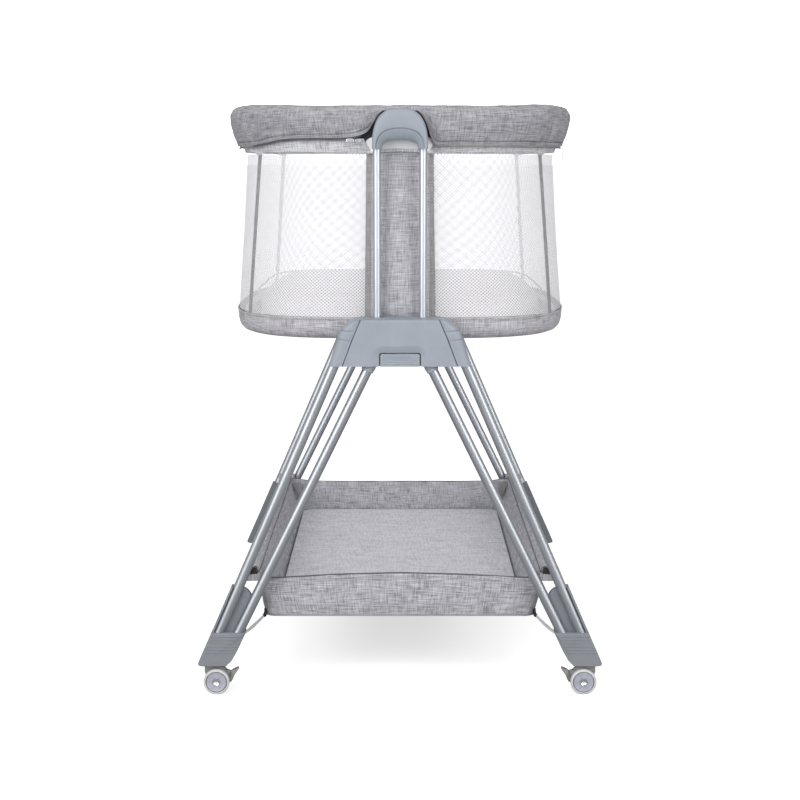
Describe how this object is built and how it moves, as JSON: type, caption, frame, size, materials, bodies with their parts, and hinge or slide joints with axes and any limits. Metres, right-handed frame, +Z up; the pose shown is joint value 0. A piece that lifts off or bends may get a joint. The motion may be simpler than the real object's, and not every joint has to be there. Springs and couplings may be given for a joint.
{
  "type": "bassinet on stand",
  "caption": "Mesh-walled bassinet with a padded linen rim, carried on posts between two A-shaped leg frames with swivel casters and a fabric storage basket below.",
  "frame": {"origin": "on the floor, under the centre of the whole object", "axes": "+Z up, X across the width (the leg frames lie in planes of constant Y), Y along the length of the basin"},
  "size_m": [0.646, 0.876, 0.93],
  "materials": {
    "leg_tube": "satin",
    "post_tube": "satin",
    "hub_plastic": "satin",
    "foot_plastic": "matte",
    "caster_plastic": "satin",
    "caster_wheel": "satin",
    "frame_bracket": "satin",
    "linen": "matte",
    "mesh": "matte",
    "mattress": "matte",
    "base_board": "matte",
    "frame_metal": "satin",
    "inner_steel": "satin",
    "zip_metal": "gloss"
  },
  "bodies": {
    "stand": {"front_hub": "hub_plastic", "rear_hub": "hub_plastic", "front_hub_cover": "hub_plastic", "rear_hub_cover": "hub_plastic", "front_lock_spring": "inner_steel", "rear_lock_spring": "inner_steel", "front_left_outer_leg": "leg_tube", "front_left_inner_leg": "leg_tube", "front_right_outer_leg": "leg_tube", "front_right_inner_leg": "leg_tube", "rear_left_outer_leg": "leg_tube", "rear_left_inner_leg": "leg_tube", "rear_right_outer_leg": "leg_tube", "rear_right_inner_leg": "leg_tube", "front_left_foot": "foot_plastic", "front_right_foot": "foot_plastic", "rear_left_foot": "foot_plastic", "rear_right_foot": "foot_plastic", "left_side_rail": "frame_metal", "right_side_rail": "frame_metal", "basket": "linen", "basket_board": "linen"},
    "basin": {"front_cap": "hub_plastic", "rear_cap": "hub_plastic", "front_frame_bracket": "frame_bracket", "rear_frame_bracket": "frame_bracket", "front_left_post": "post_tube", "front_right_post": "post_tube", "rear_left_post": "post_tube", "rear_right_post": "post_tube", "top_frame": "frame_metal", "rim_cover": "linen", "mesh_wall": "mesh", "front_end_panel": "linen", "rear_end_panel": "linen", "lower_band": "linen", "lower_frame": "frame_metal", "base_board": "base_board", "mattress": "mattress", "front_zip_slider": "zip_metal"},
    "front_button": {"front_release_button": "hub_plastic"},
    "front_left_lock": {"front_left_lock_pin": "inner_steel"},
    "front_right_lock": {"front_right_lock_pin": "inner_steel"},
    "rear_button": {"rear_release_button": "hub_plastic"},
    "rear_left_lock": {"rear_left_lock_pin": "inner_steel"},
    "rear_right_lock": {"rear_right_lock_pin": "inner_steel"},
    "front_left_caster": {"front_left_caster_fork": "caster_plastic"},
    "front_left_wheel": {"front_left_caster_wheel": "caster_wheel"},
    "front_left_brake": {"front_left_caster_brake": "caster_plastic"},
    "front_right_caster": {"front_right_caster_fork": "caster_plastic"},
    "front_right_wheel": {"front_right_caster_wheel": "caster_wheel"},
    "front_right_brake": {"front_right_caster_brake": "caster_plastic"},
    "rear_left_caster": {"rear_left_caster_fork": "caster_plastic"},
    "rear_left_wheel": {"rear_left_caster_wheel": "caster_wheel"},
    "rear_left_brake": {"rear_left_caster_brake": "caster_plastic"},
    "rear_right_caster": {"rear_right_caster_fork": "caster_plastic"},
    "rear_right_wheel": {"rear_right_caster_wheel": "caster_wheel"},
    "rear_right_brake": {"rear_right_caster_brake": "caster_plastic"},
    "front_zip_pull": {"front_zip_pull": "zip_metal"},
    "side_zip_pull": {"side_zip_pull": "zip_metal"}
  },
  "joints": [
    {"name": "height_slide", "type": "slide", "parent": "stand", "child": "basin", "axis": [0, 0, 1], "range_m": [-0.16, 0]},
    {"name": "front_button_press", "type": "slide", "parent": "stand", "child": "front_button", "axis": [0, 1, 0], "range_m": [0, 0.004], "stiffness_N_per_m": 400, "springref_m": -0.002},
    {"name": "front_left_lock_slide", "type": "slide", "parent": "stand", "child": "front_left_lock", "axis": [1, 0, 0], "range_m": [0, 0.004], "deforming": ["front_lock_spring"]},
    {"name": "front_right_lock_slide", "type": "slide", "parent": "stand", "child": "front_right_lock", "axis": [-1, 0, 0], "range_m": [0, 0.004], "deforming": ["front_lock_spring"]},
    {"name": "rear_button_press", "type": "slide", "parent": "stand", "child": "rear_button", "axis": [0, -1, 0], "range_m": [0, 0.004], "stiffness_N_per_m": 400, "springref_m": -0.002},
    {"name": "rear_left_lock_slide", "type": "slide", "parent": "stand", "child": "rear_left_lock", "axis": [1, 0, 0], "range_m": [0, 0.004], "deforming": ["rear_lock_spring"]},
    {"name": "rear_right_lock_slide", "type": "slide", "parent": "stand", "child": "rear_right_lock", "axis": [-1, 0, 0], "range_m": [0, 0.004], "deforming": ["rear_lock_spring"]},
    {"name": "front_left_swivel", "type": "hinge", "parent": "stand", "child": "front_left_caster", "pos_m": [-0.3035, -0.42, 0.0459], "axis": [0, 0, 1], "continuous": true},
    {"name": "front_left_wheel_spin", "type": "hinge", "parent": "front_left_caster", "child": "front_left_wheel", "pos_m": [-0.2935, -0.42, 0.0207], "axis": [0, 1, 0], "continuous": true},
    {"name": "front_left_brake_lever", "type": "hinge", "parent": "front_left_caster", "child": "front_left_brake", "pos_m": [-0.2763, -0.42, 0.033], "axis": [0, 1, 0], "range_deg": [0, 18]},
    {"name": "front_right_swivel", "type": "hinge", "parent": "stand", "child": "front_right_caster", "pos_m": [0.3035, -0.42, 0.0459], "axis": [0, 0, 1], "continuous": true},
    {"name": "front_right_wheel_spin", "type": "hinge", "parent": "front_right_caster", "child": "front_right_wheel", "pos_m": [0.2935, -0.42, 0.0207], "axis": [0, 1, 0], "continuous": true},
    {"name": "front_right_brake_lever", "type": "hinge", "parent": "front_right_caster", "child": "front_right_brake", "pos_m": [0.2763, -0.42, 0.033], "axis": [0, -1, 0], "range_deg": [0, 18]},
    {"name": "rear_left_swivel", "type": "hinge", "parent": "stand", "child": "rear_left_caster", "pos_m": [-0.3035, 0.42, 0.0459], "axis": [0, 0, 1], "continuous": true},
    {"name": "rear_left_wheel_spin", "type": "hinge", "parent": "rear_left_caster", "child": "rear_left_wheel", "pos_m": [-0.2935, 0.42, 0.0207], "axis": [0, 1, 0], "continuous": true},
    {"name": "rear_left_brake_lever", "type": "hinge", "parent": "rear_left_caster", "child": "rear_left_brake", "pos_m": [-0.2763, 0.42, 0.033], "axis": [0, 1, 0], "range_deg": [0, 18]},
    {"name": "rear_right_swivel", "type": "hinge", "parent": "stand", "child": "rear_right_caster", "pos_m": [0.3035, 0.42, 0.0459], "axis": [0, 0, 1], "continuous": true},
    {"name": "rear_right_wheel_spin", "type": "hinge", "parent": "rear_right_caster", "child": "rear_right_wheel", "pos_m": [0.2935, 0.42, 0.0207], "axis": [0, 1, 0], "continuous": true},
    {"name": "rear_right_brake_lever", "type": "hinge", "parent": "rear_right_caster", "child": "rear_right_brake", "pos_m": [0.2763, 0.42, 0.033], "axis": [0, -1, 0], "range_deg": [0, 18]},
    {"name": "front_zip_pull_swing", "type": "hinge", "parent": "basin", "child": "front_zip_pull", "pos_m": [-0.069, -0.3925, 0.8755], "axis": [0, 0, -1], "range_deg": [0, 100]},
    {"name": "side_zip_pull_swing", "type": "hinge", "parent": "basin", "child": "side_zip_pull", "pos_m": [0.2722, -0.18, 0.8675], "axis": [0, -1, 0], "range_deg": [0, 110]}
  ],
  "couplings": [
    {"joint": "front_left_lock_slide", "follows": "front_button_press", "ratio": 1},
    {"joint": "front_right_lock_slide", "follows": "front_button_press", "ratio": 1},
    {"joint": "rear_left_lock_slide", "follows": "rear_button_press", "ratio": 1},
    {"joint": "rear_right_lock_slide", "follows": "rear_button_press", "ratio": 1}
  ]
}
